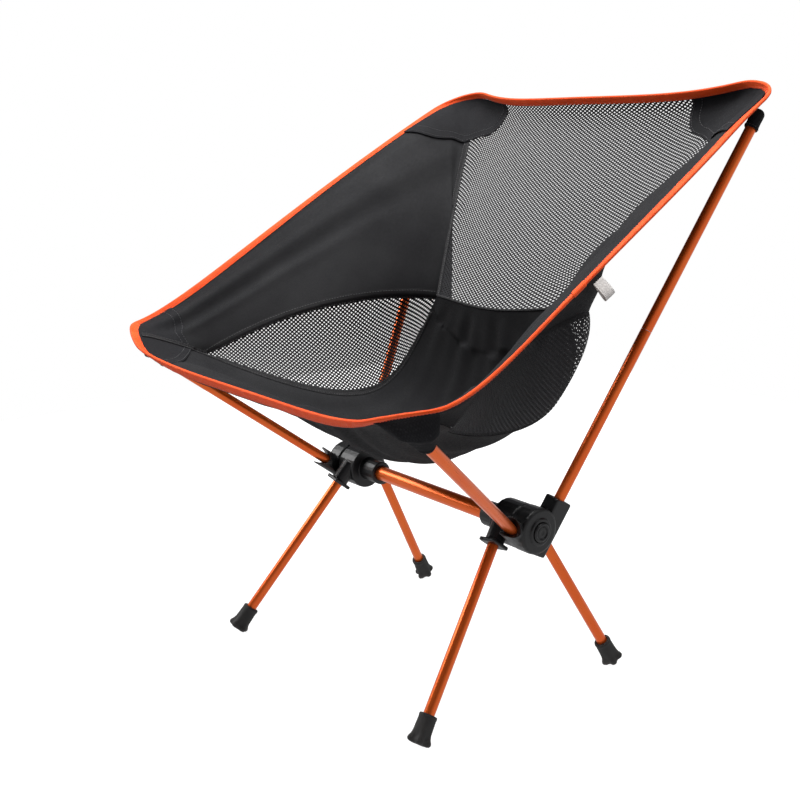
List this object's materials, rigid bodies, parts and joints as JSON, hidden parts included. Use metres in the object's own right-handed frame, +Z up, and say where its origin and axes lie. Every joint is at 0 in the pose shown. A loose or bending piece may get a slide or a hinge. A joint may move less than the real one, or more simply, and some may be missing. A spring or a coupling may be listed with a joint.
{
  "type": "folding camp chair",
  "caption": "Compact camp chair: four-legged tube frame on two moulded hubs, with a sewn sling seat hung by corner pockets on four arms.",
  "frame": {"origin": "on the floor, under the middle of the chair's bounding box", "axes": "+Z up, the chair faces -Y, +X is the sitter's left; the crossbar lies along X at y -0.0072, z 0.1888"},
  "size_m": [0.5768, 0.5166, 0.6484],
  "materials": {
    "anodised_tube": "orange anodised, satin",
    "ferrule_tube": "bare, drawn",
    "pin_steel": "plain",
    "hub_plastic": "fine moulded texture",
    "foot_rubber": "matte",
    "elastic_cord": "braided",
    "oxford_cloth": "coated plain weave",
    "mesh_cloth": "open knitted mesh",
    "orange_tape": "ribbed binding tape",
    "white_tag": "plain satin label"
  },
  "bodies": {
    "base": {"crossbar": "anodised_tube", "crossbar_cord": "elastic_cord", "leg_hub_right": "hub_plastic", "leg_hub_left": "hub_plastic", "pivot_pin_right": "pin_steel", "pivot_pin_left": "pin_steel", "pivot_cap_right": "hub_plastic", "pivot_cap_left": "hub_plastic", "cord_leg_front_right": "elastic_cord", "cord_leg_front_left": "elastic_cord", "cord_leg_rear_right": "elastic_cord", "cord_leg_rear_left": "elastic_cord"},
    "leg_front_right": {"leg_front_right": "anodised_tube", "foot_front_right": "foot_rubber"},
    "leg_front_left": {"leg_front_left": "anodised_tube", "foot_front_left": "foot_rubber"},
    "leg_rear_right": {"leg_rear_right": "anodised_tube", "foot_rear_right": "foot_rubber"},
    "leg_rear_left": {"leg_rear_left": "anodised_tube", "foot_rear_left": "foot_rubber"},
    "seat_frame": {"arm_hub_right": "hub_plastic", "arm_hub_left": "hub_plastic", "arm_front_right": "anodised_tube", "arm_front_left": "anodised_tube", "arm_tip_front_right": "hub_plastic", "arm_tip_front_left": "hub_plastic", "cord_arm_front_right": "elastic_cord", "cord_arm_front_left": "elastic_cord", "arm_rear_lower_right": "anodised_tube", "arm_rear_lower_left": "anodised_tube", "arm_rear_upper_right": "anodised_tube", "arm_rear_upper_left": "anodised_tube", "ferrule_right": "ferrule_tube", "ferrule_left": "ferrule_tube", "arm_tip_rear_right": "hub_plastic", "arm_tip_rear_left": "hub_plastic", "cord_arm_rear_right": "elastic_cord", "cord_arm_rear_left": "elastic_cord"},
    "seat": {"back_mesh_panel": "mesh_cloth", "seat_bottom_panel": "oxford_cloth", "side_panel_right": "oxford_cloth", "side_panel_left": "oxford_cloth", "side_mesh_right": "mesh_cloth", "side_mesh_left": "mesh_cloth", "edge_tape": "orange_tape", "patch_rear_right": "oxford_cloth", "patch_rear_left": "oxford_cloth", "patch_front_right": "oxford_cloth", "patch_front_left": "oxford_cloth", "pocket_front_right": "oxford_cloth", "pocket_front_left": "oxford_cloth", "pocket_rear_right": "oxford_cloth", "pocket_rear_left": "oxford_cloth", "care_tag": "white_tag"}
  },
  "joints": [
    {"name": "leg_front_right_pull", "type": "slide", "parent": "base", "child": "leg_front_right", "axis": [0.157, -0.6038, -0.7815], "range_m": [0, 0.05], "stiffness_N_per_m": 40, "springref_m": -0.1},
    {"name": "leg_front_left_pull", "type": "slide", "parent": "base", "child": "leg_front_left", "axis": [-0.157, -0.6038, -0.7815], "range_m": [0, 0.05], "stiffness_N_per_m": 40, "springref_m": -0.1},
    {"name": "leg_rear_right_pull", "type": "slide", "parent": "base", "child": "leg_rear_right", "axis": [0.1477, 0.4893, -0.8595], "range_m": [0, 0.05], "stiffness_N_per_m": 40, "springref_m": -0.1},
    {"name": "leg_rear_left_pull", "type": "slide", "parent": "base", "child": "leg_rear_left", "axis": [-0.1477, 0.4893, -0.8595], "range_m": [0, 0.05], "stiffness_N_per_m": 40, "springref_m": -0.1},
    {"name": "seat_frame_fold", "type": "hinge", "parent": "base", "child": "seat_frame", "pos_m": [0, -0.0072, 0.1888], "axis": [1, 0, 0], "range_deg": [0, 60]},
    {"name": "seat_lift_off", "type": "slide", "parent": "seat_frame", "child": "seat", "axis": [0, -0.4879, 0.8729], "range_m": [0, 0.3], "deforming": ["pocket_front_right", "pocket_front_left", "pocket_rear_right", "pocket_rear_left"]}
  ]
}
